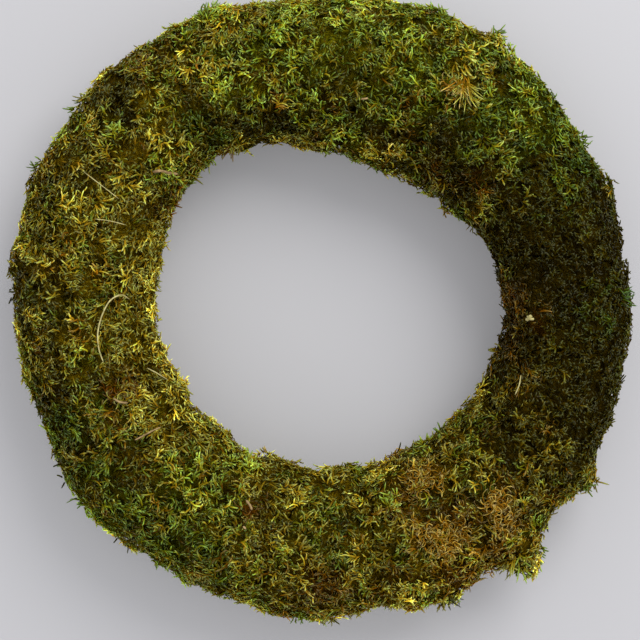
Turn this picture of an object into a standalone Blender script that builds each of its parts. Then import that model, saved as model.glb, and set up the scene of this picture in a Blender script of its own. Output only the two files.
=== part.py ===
"""A moss wreath that lies on its back.

A straw ring is wrapped in sixteen pads of moss. A thin wire winds round the ring once for each pad and
lies in the grooves between them, so the pads follow its slant. The pads' ends meet in a seam along the back.
A dry stem and a chip of twig are caught on the front.

Metres, +Z up. The origin is on the surface that the wreath lies on, in the middle of the wreath's outline.
+Y is the top of the wreath as it hangs, and +Z is its front.
"""

import math
import random

import bmesh
import bpy
from mathutils import Vector, noise
from mathutils.bvhtree import BVHTree

TURN = 2 * math.pi
MM = 0.001

# Driving dimensions
STRAW_RING_RADIUS = 126 * MM  # from the wreath's middle to the middle of the straw's round section
STRAW_RADIUS = 24 * MM
SECTION_HEIGHT = 36 * MM  # the middle of the section, above the surface
FRONT_REACH = 39 * MM  # from the middle of the section to the moss tips at the front
BACK_REACH = 44 * MM  # the same at the back, before the surface presses the moss flat
UNDERSIDE_REACH = 25.0 * MM  # from the middle of the section to the underside of the moss
PADS = 16

# Each pad, from +X towards +Y: how far its tips reach from the wreath's middle on the outer side and on the
# hole side, in millimetres, and the kind of moss.
PAD_SIZES = (
    (161, 92.0, "dark"),
    (162, 88.0, "dark"),
    (165, 81.0, "green"),
    (167, 76.0, "green"),
    (164, 80.0, "green"),
    (168, 88.0, "yellow"),
    (168, 94.0, "olive"),
    (167, 89.5, "yellow"),
    (165, 87.5, "yellow"),
    (162, 85.0, "olive"),
    (164, 82.0, "dark"),
    (163, 82.0, "olive"),
    (166, 82.5, "green"),
    (168, 84.5, "dry"),
    (168, 87.0, "dry"),
    (163, 91.0, "dark"),
)

# Grid of a pad: columns across its front, columns across its underside, and rows from end to end
FRONT_COLUMNS = 9
UNDER_COLUMNS = 2
ROWS = 38

PAD_EDGE = 0.96  # where a pad's sharp edge lies, when 1 is the middle of the groove that the wire lies in
OVERHANG = 1.07  # where the tufts beside the groove reach to, from each side by turns
SEAM_HALF_ANGLE = math.radians(9)  # half of the gap between a pad's two ends, seen round the section
END_THICKNESS = 0.6  # share of a pad's thickness that is left at its ends
EDGE_SHARPNESS = 8  # how late a pad's front falls away to its sharp edges

TUFT_DEPTH = (4.0 * MM, 6.0 * MM)  # how far the dips between tufts lie under their tips
TUFT_EXTRA = 3.2 * MM  # how much further the longest tufts stand out
TUFT_LEAN = 1.8 * MM
LEAN_SIZE = 55 * MM  # across which neighbouring tufts lean alike
UNEVEN_COLUMN = 0.035  # how far tufts and dips stray from their column and their row
UNEVEN_ROW = 0.030
LUMP_HEIGHT = 2.0 * MM
LUMP_SIZE = 30 * MM
# Clumps that stand out and one notch: angle round the wreath, angle round the section, height and radius in
# millimetres
CLUMPS = (
    (308, 95, 7.0, 17),
    (301, 95, -5.0, 9),
    (294, 95, 3.5, 13),
    (326, 95, 3.5, 12),
    (157, 95, 3.5, 14),
    (57, 100, 4.0, 14),
    (172, 95, 3.5, 13),
    (62, 262, 3.0, 14),
    (86, 258, 2.0, 12),
)
PRESSED_FLAT = math.radians(30)  # from the back seam, round the section: no tufts, the moss is pressed flat
TUFTED_FROM = math.radians(50)

WIRE_RADIUS = 0.35 * MM
WIRE_REACH = STRAW_RADIUS + WIRE_RADIUS + 0.3 * MM  # from the middle of the section to the wire
WIRE_POINTS_PER_TURN = 12  # as many as the straw has sides
WIRE_TAIL = 18 * MM  # each end lies along the back seam
WIRE_TAIL_OFFSET = math.radians(4)

STEM_CLEARANCE = 0.35 * MM  # between what is caught on the moss and the tufts that carry it
# What is caught on the front: points in millimetres from the wreath's middle, +X right and +Y up
CAUGHT = {
    "dry_stem": (0.6 * MM, ((-102, 4), (-107, 6.5), (-112, 5), (-116, 0), (-118, -7), (-118, -16), (-117, -23), (-114.5, -30))),
    "twig_chip": (0.8 * MM, ((-90, 69), (-84, 69.6), (-77.5, 70.2))),
}

MOSS_COLOURS = {
    "dark": (0.035, 0.045, 0.010),
    "green": (0.120, 0.170, 0.020),
    "yellow": (0.190, 0.180, 0.025),
    "olive": (0.110, 0.110, 0.022),
    "dry": (0.190, 0.120, 0.040),
}


def clear_scene():
    for thing in list(bpy.data.objects):
        bpy.data.objects.remove(thing, do_unlink=True)


def make_material(name, colour, roughness, metallic=0.0):
    material = bpy.data.materials.new(name)
    material.use_nodes = True
    shader = material.node_tree.nodes["Principled BSDF"]
    shader.inputs["Base Color"].default_value = (*colour, 1)
    shader.inputs["Roughness"].default_value = roughness
    shader.inputs["Metallic"].default_value = metallic
    return material


def smoothstep(low, high, value):
    share = min(1.0, max(0.0, (value - low) / (high - low)))
    return share * share * (3 - 2 * share)


def round_the_ring(theta, which):
    """One of the PAD_SIZES columns at an angle round the wreath, run smoothly through the pads' own values."""
    at = theta / TURN * PADS
    first = math.floor(at)
    share = at - first
    before, here, after, beyond = (PAD_SIZES[(first + step) % PADS][which] * MM for step in (-1, 0, 1, 2))
    slope_here = (after - before) / 2
    slope_after = (beyond - here) / 2
    squared, cubed = share**2, share**3
    return (
        (2 * cubed - 3 * squared + 1) * here
        + (cubed - 2 * squared + share) * slope_here
        + (3 * squared - 2 * cubed) * after
        + (cubed - squared) * slope_after
    )


def placed(theta, section, reach):
    """A point of the wreath. section turns round the straw from the back by way of the outer side to the front."""
    radius = STRAW_RING_RADIUS + reach * math.sin(section)
    height = SECTION_HEIGHT - reach * math.cos(section)
    return Vector((radius * math.cos(theta), radius * math.sin(theta), max(height, 0.0)))


def tip_reach(theta, section):
    """From the middle of the section to the moss tips: an oval whose outer and inner halves differ, with lumps."""
    if math.sin(section) > 0:
        half_width = round_the_ring(theta, 0) - STRAW_RING_RADIUS
    else:
        half_width = STRAW_RING_RADIUS - round_the_ring(theta, 1)
    half_height = BACK_REACH if math.cos(section) > 0 else FRONT_REACH
    oval = 1 / math.hypot(math.sin(section) / half_width, math.cos(section) / half_height)
    point = placed(theta, section, oval)
    reach = oval + LUMP_HEIGHT * noise.noise(point / LUMP_SIZE)
    for around_wreath, around_section, height, radius in CLUMPS:
        middle = placed(math.radians(around_wreath), math.radians(around_section), oval)
        reach += height * MM * (1 - smoothstep(0, radius * MM, (point - middle).length))
    return reach


def groove_angle(section):
    """How far round the wreath the wire's slant carries it by this angle round the section."""
    return TURN / PADS * (section / TURN - 0.5)


def tufted(section):
    from_back = min(section, TURN - section)
    return smoothstep(PRESSED_FLAT, TUFTED_FROM, from_back)


def front_point(chance, middle, across, section, kind):
    """A point on the mossy face of a pad. kind is end, dip or tuft."""
    amount = tufted(section)
    full = 1 - abs(across) ** EDGE_SHARPNESS
    beside_groove = abs(across) > 1 - 3 / FRONT_COLUMNS
    if kind == "tuft" and beside_groove:
        across += amount * math.copysign(OVERHANG - abs(across), across)
    if kind != "end":
        across += amount * chance.uniform(-UNEVEN_COLUMN, UNEVEN_COLUMN)
        section += amount * chance.uniform(-UNEVEN_ROW, UNEVEN_ROW)
    theta = middle + groove_angle(section) + across * TURN / PADS / 2
    reach = tip_reach(theta, section)
    if kind == "tuft":
        direction = TURN * noise.noise(placed(theta, section, reach) / LEAN_SIZE)
        lean = TUFT_LEAN * amount * chance.uniform(0.5, 1)
        reach += TUFT_EXTRA * amount * chance.random() ** 3
        section += lean * math.sin(direction) / reach
        if not beside_groove:
            theta += lean * math.cos(direction) / STRAW_RING_RADIUS
    if kind == "dip":
        reach -= amount * chance.uniform(*TUFT_DEPTH)
    return placed(theta, section, UNDERSIDE_REACH + (reach - UNDERSIDE_REACH) * full)


def edge_point(middle, across, section):
    """A point on the underside of a pad, next to the straw. across is -1 and 1 at the pad's sharp edges."""
    theta = middle + groove_angle(section) + across * PAD_EDGE * TURN / PADS / 2
    return placed(theta, section, UNDERSIDE_REACH)


def add_diagonals(sheet, tufts):
    """Splits the faces so that each tuft is a pyramid of its own."""
    for face in list(sheet.faces):
        corners = list(face.verts)
        peaks = [i for i, corner in enumerate(corners) if corner in tufts]
        if len(corners) == 4 and peaks:
            beside = (corners[(peaks[0] + 1) % 4], corners[(peaks[0] - 1) % 4])
            bmesh.utils.face_split(face, *beside)


def make_pad(number, material):
    """One pad of moss, from a flat grid that is rolled round the straw and closed along one edge and at its ends."""
    chance = random.Random(100 + number)
    middle = TURN * number / PADS
    columns = FRONT_COLUMNS + UNDER_COLUMNS
    sheet = bmesh.new()
    bmesh.ops.create_grid(sheet, x_segments=columns, y_segments=ROWS, size=1)
    tufts = set()
    for vertex in sheet.verts:
        column = round((vertex.co.x + 1) / 2 * columns)
        row = round((vertex.co.y + 1) / 2 * ROWS)
        section = SEAM_HALF_ANGLE + (TURN - 2 * SEAM_HALF_ANGLE) * row / ROWS
        if column in (0, columns):
            vertex.co = edge_point(middle, -1, section)
        elif column >= FRONT_COLUMNS:
            vertex.co = edge_point(middle, 1 - 2 * (column - FRONT_COLUMNS) / UNDER_COLUMNS, section)
        elif row in (0, ROWS):
            across = 2 * column / FRONT_COLUMNS - 1
            under = edge_point(middle, across, section)
            vertex.co = under.lerp(front_point(chance, middle, across, section, "end"), END_THICKNESS)
        else:
            kind = "tuft" if (column + row) % 2 == 0 else "dip"
            vertex.co = front_point(chance, middle, 2 * column / FRONT_COLUMNS - 1, section, kind)
            if kind == "tuft":
                tufts.add(vertex)
    add_diagonals(sheet, tufts)
    bmesh.ops.remove_doubles(sheet, verts=sheet.verts, dist=0.01 * MM)
    ends = [edge for edge in sheet.edges if edge.is_boundary]
    bmesh.ops.holes_fill(sheet, edges=ends, sides=0)
    bmesh.ops.triangulate(sheet, faces=sheet.faces)
    bmesh.ops.recalc_face_normals(sheet, faces=sheet.faces)
    name = f"moss_pad_{number + 1:02d}"
    mesh = bpy.data.meshes.new(name)
    sheet.to_mesh(mesh)
    sheet.free()
    mesh.materials.append(material)
    return bpy.data.objects.new(name, mesh)


def make_straw_ring(material):
    bpy.ops.mesh.primitive_torus_add(
        location=(0, 0, SECTION_HEIGHT),
        major_radius=STRAW_RING_RADIUS,
        minor_radius=STRAW_RADIUS,
        major_segments=48,
        minor_segments=12,
    )
    ring = bpy.context.object
    ring.name = ring.data.name = "straw_ring"
    ring.data.shade_smooth()
    ring.data.materials.append(material)
    return ring


def make_tube(name, points, radius, material, sides_resolution=0):
    curve = bpy.data.curves.new(name, "CURVE")
    curve.dimensions = "3D"
    curve.bevel_depth = radius
    curve.bevel_resolution = sides_resolution
    curve.use_fill_caps = True
    spline = curve.splines.new("POLY")
    spline.points.add(len(points) - 1)
    for place, point in zip(spline.points, points):
        place.co = (*point, 1)
    curve.materials.append(material)
    return bpy.data.objects.new(name, curve)


def make_wire(material):
    """One wire in all the grooves. Its first and last stretches lie along the back seam."""
    tail_angle = WIRE_TAIL / STRAW_RING_RADIUS
    start = -TURN / PADS / 2
    turns = WIRE_POINTS_PER_TURN * PADS
    points = [placed(start + groove_angle(0) + tail_angle * share, WIRE_TAIL_OFFSET, WIRE_REACH) for share in (1, 0.5)]
    for step in range(turns + 1):
        section = TURN * step / WIRE_POINTS_PER_TURN
        section += WIRE_TAIL_OFFSET * ((step == 0) - (step == turns))
        points.append(placed(start + groove_angle(section), section, WIRE_REACH))
    last = start + groove_angle(TURN * PADS)
    points += [placed(last - tail_angle * share, -WIRE_TAIL_OFFSET, WIRE_REACH) for share in (0.5, 1)]
    return make_tube("binding_wire", points, WIRE_RADIUS, material)


def lie_on(pads, name, radius, route, material):
    """A thin piece that lies across the tufts: each of its points is as high as the tufts near it ask for."""
    moss = BVHTree.FromPolygons(*joined_faces(pads))
    steps = 6
    above = Vector((0, 0, SECTION_HEIGHT + 2 * FRONT_REACH))
    flat = [Vector((x * MM, y * MM, 0)) for x, y in route]
    fine = [flat[0]]
    for a, b in zip(flat, flat[1:]):
        fine += [a.lerp(b, (step + 1) / steps) for step in range(steps)]
    around = [Vector((x, y, 0)) * radius * 1.3 for x in (-1, 0, 1) for y in (-1, 0, 1)]
    heights = [max(moss.ray_cast(point + aside + above, Vector((0, 0, -1)))[0].z for aside in around) for point in fine]
    points = []
    for index in range(0, len(fine), steps):
        near = heights[max(0, index - steps) : index + steps + 1]
        points.append(fine[index] + Vector((0, 0, max(near) + radius + STEM_CLEARANCE)))
    return make_tube(name, points, radius, material, sides_resolution=1)


def joined_faces(objects):
    """The vertices and faces of several meshes in one list."""
    points, faces = [], []
    for thing in objects:
        first = len(points)
        points += [vertex.co.copy() for vertex in thing.data.vertices]
        faces += [[first + index for index in face.vertices] for face in thing.data.polygons]
    return points, faces


def centre(pieces, pads):
    """Moves the wreath so that the middle of its outline is the origin."""
    points, _ = joined_faces(pads)
    lowest = Vector([min(point[axis] for point in points) for axis in (0, 1)] + [0])
    highest = Vector([max(point[axis] for point in points) for axis in (0, 1)] + [0])
    for piece in pieces:
        piece.location -= (lowest + highest) / 2


def main():
    clear_scene()
    wreath = bpy.data.collections.new("moss_wreath")
    bpy.context.scene.collection.children.link(wreath)
    bpy.context.view_layer.active_layer_collection = bpy.context.view_layer.layer_collection.children["moss_wreath"]

    moss = {kind: make_material(f"moss_{kind}", colour, 0.9) for kind, colour in MOSS_COLOURS.items()}
    straw = make_material("straw", (0.42, 0.30, 0.13), 0.8)
    wire = make_material("wire_green", (0.02, 0.05, 0.02), 0.4, metallic=0.6)
    pale = make_material("dry_stalk", (0.55, 0.47, 0.22), 0.6)

    ring = make_straw_ring(straw)
    pads = [make_pad(number, moss[PAD_SIZES[number][2]]) for number in range(PADS)]
    pieces = [*pads, make_wire(wire)]
    for name, (radius, route) in CAUGHT.items():
        pieces.append(lie_on(pads, name, radius, route, pale))
    for piece in pieces:
        wreath.objects.link(piece)
    centre([ring, *pieces], pads)


main()
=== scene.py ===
import math

import bpy
import numpy as np
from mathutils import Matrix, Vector, noise


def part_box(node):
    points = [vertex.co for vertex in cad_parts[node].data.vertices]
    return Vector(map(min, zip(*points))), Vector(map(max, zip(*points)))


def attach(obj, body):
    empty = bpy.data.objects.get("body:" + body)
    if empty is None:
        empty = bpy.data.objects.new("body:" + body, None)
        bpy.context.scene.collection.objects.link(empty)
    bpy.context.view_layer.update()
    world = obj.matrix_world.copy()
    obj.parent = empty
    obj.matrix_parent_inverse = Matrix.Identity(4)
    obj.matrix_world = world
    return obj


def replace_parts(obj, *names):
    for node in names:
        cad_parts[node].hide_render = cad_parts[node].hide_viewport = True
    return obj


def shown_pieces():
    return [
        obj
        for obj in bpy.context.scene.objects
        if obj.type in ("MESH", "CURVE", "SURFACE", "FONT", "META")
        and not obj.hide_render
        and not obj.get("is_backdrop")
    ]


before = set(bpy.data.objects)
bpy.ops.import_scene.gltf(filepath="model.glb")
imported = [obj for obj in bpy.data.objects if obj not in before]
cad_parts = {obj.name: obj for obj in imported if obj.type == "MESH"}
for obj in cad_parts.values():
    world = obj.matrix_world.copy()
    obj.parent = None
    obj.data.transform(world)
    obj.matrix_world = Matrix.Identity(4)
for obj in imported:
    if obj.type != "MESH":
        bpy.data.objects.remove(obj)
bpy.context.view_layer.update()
mm = 0.001
turn = 2 * math.pi


def addObject(name, data):
    thing = bpy.data.objects.new(name, data)
    bpy.context.scene.collection.objects.link(thing)
    return thing


# the ring that everything is wound on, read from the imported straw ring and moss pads

strawLow, strawHigh = (np.array(corner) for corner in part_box("straw_ring"))
ringMiddle = (strawLow + strawHigh) / 2
strawRadius = (strawHigh[2] - strawLow[2]) / 2
ringRadius = (strawHigh[0] - strawLow[0]) / 2 - strawRadius
padCount = 16
padWidth = turn / padCount      # seen from the middle of the wreath
seamAngle = math.radians(9)     # half the gap between a pad's ends, at the back

skinMap = {
    "stepsRound": 280,          # cells round the wreath
    "stepsSection": 112,        # cells round the section
    "blur": 3.4 * mm,           # how far the CAD tufts are smoothed
    "lift": 3.0 * mm,           # from the mean of the CAD tufts and dips to the moss's outside
    "coreReach": 27.5 * mm,     # CAD points nearer to the straw than this belong to a pad's underside
    "blurCells": (5, 6),        # to each side of a CAD point, round the wreath and round the section
    "step": 0.02,               # radians between the points that give the skin's directions
}


def toSection(points):
    # angle round the wreath, angle round the section from the back seam by the outer side, and reach
    x, y, z = (points - ringMiddle).T
    out = np.hypot(x, y) - ringRadius
    return np.arctan2(y, x), np.arctan2(out, -z) % turn, np.hypot(out, z)


def fromSection(theta, section, reach):
    radius = ringRadius + reach * np.sin(section)
    points = np.stack((radius * np.cos(theta), radius * np.sin(theta), -reach * np.cos(section)), axis=-1)
    return points + ringMiddle


def readSkin():
    rows, columns = skinMap["stepsSection"], skinMap["stepsRound"]
    points = []
    for name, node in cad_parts.items():
        if name.startswith("moss_pad"):
            flat = np.empty(len(node.data.vertices) * 3)
            node.data.vertices.foreach_get("co", flat)
            points.append(flat.reshape(-1, 3))
    theta, section, reach = toSection(np.unique(np.concatenate(points).round(6), axis=0))
    outside = reach > skinMap["coreReach"]
    theta, section, reach = theta[outside] % turn, section[outside], reach[outside]
    total, weight = np.zeros((rows, columns)), np.zeros((rows, columns))
    column, row = theta / turn * columns, section / turn * rows
    cellsRound, cellsSection = skinMap["blurCells"]
    for right in range(-cellsRound, cellsRound + 1):
        for down in range(-cellsSection, cellsSection + 1):
            atColumn, atRow = np.floor(column).astype(int) + right, np.floor(row).astype(int) + down
            across = (atColumn - column) / columns * turn * ringRadius
            along = (atRow - row) / rows * turn * reach
            share = np.exp(-(across**2 + along**2) / (2 * skinMap["blur"] ** 2))
            inside = (atRow >= 0) & (atRow < rows)
            np.add.at(total, (atRow[inside], atColumn[inside] % columns), (share * reach)[inside])
            np.add.at(weight, (atRow[inside], atColumn[inside] % columns), share[inside])
    return total / np.maximum(weight, 1e-9)


skin = readSkin()


def skinReach(theta, section):
    rows, columns = skin.shape
    column, row = theta % turn / turn * columns, np.clip(section / turn * rows, 0, rows - 1.001)
    left, top = np.floor(column).astype(int), np.floor(row).astype(int)
    right, down = column - left, row - top
    reach = 0
    for stepRight, shareRight in ((0, 1 - right), (1, right)):
        for stepDown, shareDown in ((0, 1 - down), (1, down)):
            reach = reach + skin[top + stepDown, (left + stepRight) % columns] * shareRight * shareDown
    return reach


def unit(vectors):
    return vectors / np.maximum(np.linalg.norm(vectors, axis=-1, keepdims=True), 1e-12)


def skinFrame(theta, section, lift):
    # a point on the skin, with its directions round the wreath, round the section and outwards
    step = skinMap["step"]
    here = fromSection(theta, section, skinReach(theta, section) + lift)
    beside = fromSection(theta + step, section, skinReach(theta + step, section))
    before = fromSection(theta - step, section, skinReach(theta - step, section))
    above = fromSection(theta, section + 2 * step, skinReach(theta, section + 2 * step))
    below = fromSection(theta, section - 2 * step, skinReach(theta, section - 2 * step))
    roundWreath, roundSection = unit(beside - before), unit(above - below)
    outward = unit(np.cross(roundSection, roundWreath))
    return here, roundWreath, np.cross(roundWreath, outward), outward


def noiseAt(points, size, offset):
    # each use has its own offset, so that no two follow the same pattern
    shift = Vector((offset, offset * 1.7, offset * 2.3))
    return np.array([noise.noise(Vector(point) / size + shift) for point in points])


print("skin read from the pads:", skin.shape, "reach", round(skin.min() / mm, 1), "to", round(skin.max() / mm, 1))


# camera: the wreath lies on its back, so the photograph's square-on view looks straight down

camera = {
    "distance": 1.1,            # from the lens to the wreath's widest height
    "pixel": 0.524 * mm,        # what one pixel of the 640 pixel frame covers at that height
    "frame": 640,
    "ringAt": (324, 306),       # the ring's middle in the frame
    "sensor": 36,               # mm
    "sight": 20,                # nothing farther away is drawn
}


def placeCamera():
    data = bpy.data.cameras.new("photoCamera")
    data.sensor_width = camera["sensor"]
    data.lens = camera["sensor"] * camera["distance"] / (camera["frame"] * camera["pixel"])
    data.clip_end = camera["sight"]
    thing = addObject("photoCamera", data)
    aside = (camera["ringAt"][0] - camera["frame"] / 2) * camera["pixel"]
    down = (camera["ringAt"][1] - camera["frame"] / 2) * camera["pixel"]
    thing.location = (ringMiddle[0] - aside, ringMiddle[1] + down, ringMiddle[2] + camera["distance"])
    bpy.context.scene.camera = thing
    return thing


cameraObject = placeCamera()


def inFrame(points):
    # where points of the wreath lie in the photograph's frame, in pixels
    away = cameraObject.location.z - points[:, 2]
    scale = camera["distance"] / away / camera["pixel"]
    half = camera["frame"] / 2
    x = half + (points[:, 0] - cameraObject.location.x) * scale
    y = half - (points[:, 1] - cameraObject.location.y) * scale
    return x, y


# mounds and dents of the outline: place and radius in the photograph's frame, height in mm
mounds = [
    (606, 189, 30, 3.0), (108, 90, 26, 2.2), (70, 475, 24, 2.8), (384, 606, 26, -4.2), (493, 568, 18, -2.6),
    (545, 520, 20, -3.0), (578, 475, 20, 3.0), (528, 566, 17, 4.0), (498, 30, 14, 1.5), (632, 297, 14, 1.5),
    (438, 10, 20, 3.2), (536, 74, 14, 1.6), (590, 484, 16, 2.0), (626, 366, 22, 2.2), (448, 214, 17, 5.0),
    (404, 180, 18, 2.2), (380, 160, 16, 2.0), (352, 148, 16, 2.4), (322, 148, 16, 1.8), (227, 162, 20, -3.6),
    (160, 250, 26, 1.5), (156, 300, 26, 1.5), (158, 348, 26, 1.6), (498, 306, 24, -1.8), (575, 118, 12, -1.4),
]


def raiseMounds():
    rows, columns = skin.shape
    section = np.repeat(np.arange(rows) / rows * turn, columns)
    theta = np.tile(np.arange(columns) / columns * turn, rows)
    x, y = inFrame(fromSection(theta, section, skin.ravel()))
    for atX, atY, radius, height in mounds:
        share = np.exp(-((x - atX) ** 2 + (y - atY) ** 2) / radius**2)
        skin[:] += share.reshape(skin.shape) * height * mm


raiseMounds()


skinSearch = {
    "rounds": 10,
    "first": 40 * mm,           # height over the ring's middle to start from
    "least": 6 * mm,            # lowest height that is taken
}


def onSkin(x, y):
    # the points of the moss that show at these places of the photograph's frame
    x, y = np.atleast_1d(np.asarray(x, float)), np.atleast_1d(np.asarray(y, float))
    half = camera["frame"] / 2
    height = np.full(len(x), ringMiddle[2] + skinSearch["first"])
    for _ in range(skinSearch["rounds"]):
        scale = (cameraObject.location.z - height) / camera["distance"] * camera["pixel"]
        worldX = cameraObject.location.x + (x - half) * scale
        worldY = cameraObject.location.y - (y - half) * scale
        theta = np.arctan2(worldY - ringMiddle[1], worldX - ringMiddle[0])
        out = np.hypot(worldX - ringMiddle[0], worldY - ringMiddle[1]) - ringRadius
        section = np.arctan2(out, ringMiddle[2] - height) % turn
        reach = skinReach(theta, section) + skinMap["lift"]
        height = ringMiddle[2] + np.sqrt(np.maximum(reach**2 - out**2, skinSearch["least"] ** 2))
    return np.stack((worldX, worldY, height), axis=1)


# colours of the moss: the colour of a shoot's tip for each kind. They and the patches were given, then
# adjusted until the render's averages over parts of the ring came near to the photograph's.

mossTones = {
    "bright": (0.326, 0.430, 0.036),
    "green": (0.143, 0.214, 0.014),
    "yellow": (0.405, 0.375, 0.040),
    "olive": (0.222, 0.195, 0.018),
    "dark": (0.050, 0.047, 0.003),
    "brown": (0.192, 0.110, 0.009),
    "tan": (0.520, 0.345, 0.045),
    "rust": (0.180, 0.085, 0.006),
    "deep": (0.052, 0.098, 0.007),
    "blackish": (0.026, 0.020, 0.001),
}
darkKinds = ("dark", "blackish", "deep")
everywhere = {"olive": 0.85, "green": 0.85, "yellow": 0.50, "bright": 0.15, "dark": 0.22, "brown": 0.37, "rust": 0.10}
patchwork = {
    "wander": 9,                # how far the patches' edges stray, in pixels
    "wanderSize": 9 * mm,
    "coarse": (2.4, 14 * mm),   # strength and size of the two noises that break the patches up
    "fine": (1.9, 6 * mm),
    "edge": 4,                  # how sharply a patch ends
    "contrast": 1.5,            # in each place one kind outgrows the others
    "blend": (0.2, 0.50),       # how far a frond's colour is drawn to the mean around it, and more so in the dark
}

# patches where one kind grows, and patches of painted light and shade: place and radius in the photograph's frame,
# kind, how much of it
mossPatchesAndPaintedLight = [
    (350, 50, 75, "bright", 3.4), (350, 70, 95, "green", 2.4), (450, 60, 75, "green", 1.8),
    (270, 70, 60, "bright", 0.9), (250, 60, 80, "olive", 1.0), (430, 40, 45, "bright", 1.2),
    (337, 135, 14, "bright", 4.0), (460, 50, 50, "yellow", 1.0), (470, 90, 22, "yellow", 3.0),
    # painted shade: the two dark patches on this line darken the ring's inner side at the upper right
    (462, 92, 14, "tan", 2.4), (400, 132, 38, "dark", 4.0), (455, 170, 32, "dark", 6.0),
    (385, 130, 45, "rust", 1.4), (300, 122, 40, "rust", 1.0), (458, 168, 34, "rust", 2.0),
    (360, 130, 30, "olive", 1.6), (530, 130, 65, "green", 4.0), (585, 150, 36, "green", 1.8),
    (520, 100, 45, "bright", 1.0), (560, 215, 50, "dark", 10.0), (524, 210, 32, "dark", 8.0),
    (600, 220, 34, "blackish", 8.0), (575, 195, 50, "deep", 7.0), (560, 180, 45, "olive", 2.0),
    (600, 170, 22, "olive", 2.0), (605, 290, 55, "blackish", 14.0), (555, 410, 50, "dark", 8.0),
    (588, 420, 45, "dark", 8.0), (95, 500, 45, "green", 1.8), (150, 545, 50, "green", 1.4),
    # painted shade: the dark patches at (50, 190), (36, 300) and (58, 400) darken the outer left edge
    (50, 190, 40, "dark", 1.8), (124, 98, 30, "dark", 6.0), (95, 100, 50, "olive", 1.2), (36, 300, 40, "dark", 3.6),
    (58, 400, 38, "dark", 1.2), (40, 260, 40, "olive", 1.4), (518, 312, 32, "brown", 14.0),
    (545, 400, 45, "rust", 2.0), (455, 500, 60, "olive", 2.4), (505, 540, 50, "olive", 2.2),
    (480, 545, 50, "brown", 2.0), (560, 455, 50, "olive", 2.4), (541, 561, 17, "olive", 9.0),
    (538, 566, 15, "dark", 3.0), (520, 490, 40, "brown", 2.6), (300, 600, 50, "brown", 1.0),
    (560, 250, 70, "dark", 14.0), (530, 290, 50, "blackish", 14.0), (525, 290, 24, "rust", 4.0),
    (592, 235, 55, "dark", 14.0), (605, 290, 60, "dark", 20.0), (545, 230, 40, "dark", 9.0),
    (590, 350, 55, "dark", 14.0), (540, 370, 55, "dark", 16.0), (540, 330, 50, "blackish", 8.0),
    (600, 302, 34, "deep", 14.0), (545, 80, 28, "deep", 2.0), (560, 120, 30, "deep", 1.6),
    (320, 75, 26, "deep", 1.4), (50, 425, 24, "deep", 1.6), (145, 460, 16, "deep", 3.0),
    (350, 555, 26, "deep", 1.2), (575, 170, 26, "deep", 2.0), (560, 430, 60, "dark", 6.0),
    (575, 400, 45, "dark", 5.0), (500, 390, 32, "olive", 9.0), (520, 440, 50, "olive", 1.5),
    (508, 360, 26, "brown", 8.0), (410, 478, 26, "brown", 5.0), (420, 470, 18, "tan", 3.5),
    (440, 537, 30, "tan", 3.8), (455, 520, 40, "brown", 2.0), (497, 502, 14, "tan", 6.0),
    (508, 527, 14, "tan", 4.5), (480, 560, 35, "brown", 1.8), (400, 440, 18, "olive", 2.0),
    (450, 450, 40, "olive", 1.6), (330, 590, 22, "brown", 2.2), (330, 565, 60, "olive", 1.2),
    (387, 500, 10, "bright", 5.0), (370, 545, 35, "green", 1.2), (300, 520, 55, "olive", 1.0),
    (300, 500, 40, "yellow", 0.8), (250, 515, 14, "rust", 1.6), (235, 458, 14, "bright", 4.0),
    (190, 520, 60, "green", 1.0), (150, 500, 50, "olive", 0.8), (120, 500, 24, "dark", 1.4),
    (75, 450, 28, "dark", 1.8), (65, 430, 40, "green", 1.2), (120, 400, 26, "brown", 3.2),
    (150, 430, 36, "yellow", 1.2), (130, 370, 50, "yellow", 1.4), (60, 340, 70, "yellow", 1.0),
    (60, 262, 20, "brown", 1.2), (90, 250, 70, "yellow", 1.5), (80, 200, 60, "yellow", 1.0),
    (130, 220, 45, "olive", 1.2), (150, 300, 26, "olive", 1.5), (160, 200, 26, "brown", 1.8),
    (120, 150, 45, "olive", 1.2), (115, 130, 16, "bright", 1.6), (140, 68, 15, "brown", 3.0),
    (190, 60, 40, "olive", 1.4), (200, 30, 30, "green", 1.2), (200, 110, 34, "green", 1.4),
    # painted shade: the dark patches on this line darken the ring's inner side at the top
    (225, 130, 26, "dark", 1.2), (330, 118, 46, "dark", 4.5), (270, 128, 30, "dark", 1.8),
    # painted light: the yellow patches from (140, 190) to (245, 460) lighten the ring's inner slope on the left
    (150, 130, 40, "yellow", 1.6), (140, 190, 34, "yellow", 3.0), (145, 240, 34, "yellow", 6.5),
    (146, 290, 30, "yellow", 6.0), (148, 340, 32, "yellow", 5.5), (175, 385, 32, "yellow", 4.0),
    (205, 425, 30, "yellow", 3.5), (245, 460, 30, "yellow", 3.0), (300, 485, 34, "dark", 1.0),
    (200, 470, 30, "bright", 1.2), (110, 190, 40, "yellow", 1.6), (270, 530, 50, "yellow", 1.4),
    (330, 560, 60, "yellow", 1.5), (400, 570, 55, "yellow", 1.9), (400, 520, 40, "yellow", 2.2),
    (400, 560, 60, "brown", 1.0), (365, 490, 34, "dark", 0.8), (440, 500, 45, "yellow", 1.2),
    # painted light: the small yellow patches from (248, 150) on lighten the hole's upper and lower rims
    (345, 25, 60, "yellow", 0.9), (248, 150, 15, "yellow", 4.0), (280, 145, 14, "yellow", 4.0),
    (310, 142, 14, "yellow", 6.0), (340, 143, 13, "yellow", 6.0), (368, 152, 12, "yellow", 6.0),
    (395, 166, 11, "yellow", 6.0), (275, 466, 13, "yellow", 3.0), (305, 472, 13, "yellow", 3.0),
    (340, 473, 13, "yellow", 3.0), (372, 468, 13, "yellow", 3.0),
]


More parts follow.
